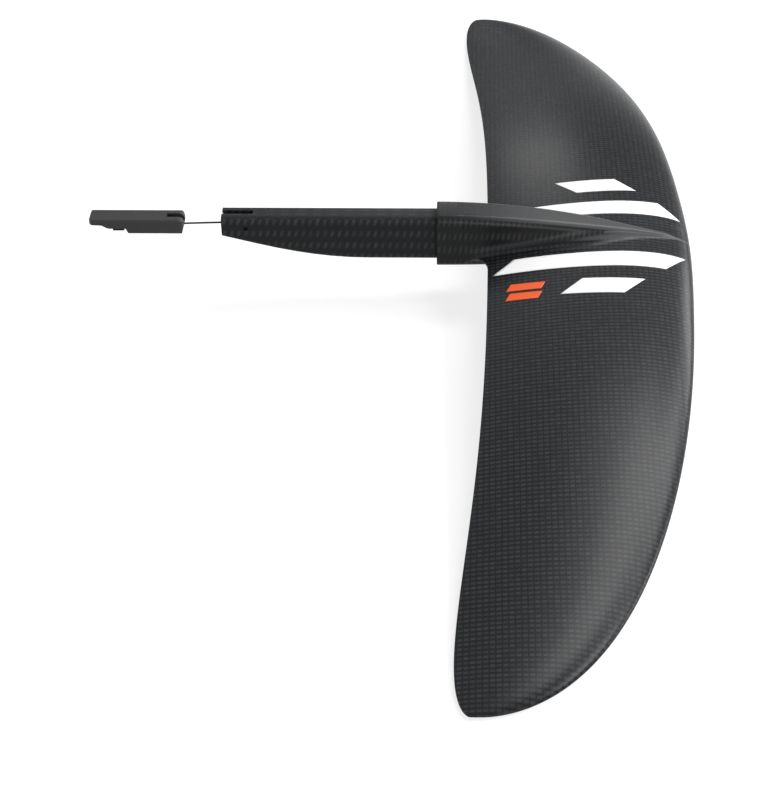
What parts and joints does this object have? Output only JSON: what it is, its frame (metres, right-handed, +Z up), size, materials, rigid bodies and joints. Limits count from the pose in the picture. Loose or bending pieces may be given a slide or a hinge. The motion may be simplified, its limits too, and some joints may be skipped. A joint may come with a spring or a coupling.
{
  "type": "hydrofoil front wing",
  "caption": "Carbon hydrofoil front wing with drooped tips, a rear plug-in tongue and a pull cable ending in a lever.",
  "frame": {"origin": "centre of the collar's flat rear face, on the tongue's centre line", "axes": "+X towards the leading edge, +Y to port (span), +Z up in flight"},
  "size_m": [0.3626, 0.7406, 0.0582],
  "materials": {
    "wing_carbon": "satin clear coat over twill carbon",
    "tongue_carbon": "satin clear coat over coarse twill carbon",
    "solid_carbon": "cured laminate",
    "foam": "rigid foam",
    "insert": "machined laminate",
    "steel": "brushed",
    "cable": "black coated wire rope",
    "lever": "fine moulded grain",
    "pad": "moulded rubber"
  },
  "bodies": {
    "wing": {"upper_skin": "wing_carbon", "lower_skin": "wing_carbon", "front_core_port": "foam", "front_core_starboard": "foam", "rear_core_port": "foam", "rear_core_starboard": "foam", "spar": "solid_carbon", "root_block": "solid_carbon", "tongue_shell": "tongue_carbon", "tongue_core": "foam", "tail_insert": "insert", "cross_pin": "steel"},
    "pull_cable": {"cable_eye": "steel", "cable": "cable", "cable_barrel": "steel"},
    "lever": {"lever": "lever", "latch_pad": "pad"}
  },
  "joints": [
    {"name": "cable_swing", "type": "hinge", "parent": "wing", "child": "pull_cable", "pos_m": [-0.115, 0, 0.0076], "axis": [0, 1, 0], "range_deg": [0, 90]},
    {"name": "lever_turn", "type": "hinge", "parent": "pull_cable", "child": "lever", "pos_m": [-0.15897, 0, 0.00606], "axis": [0, 1, 0], "range_deg": [0, 90]}
  ]
}
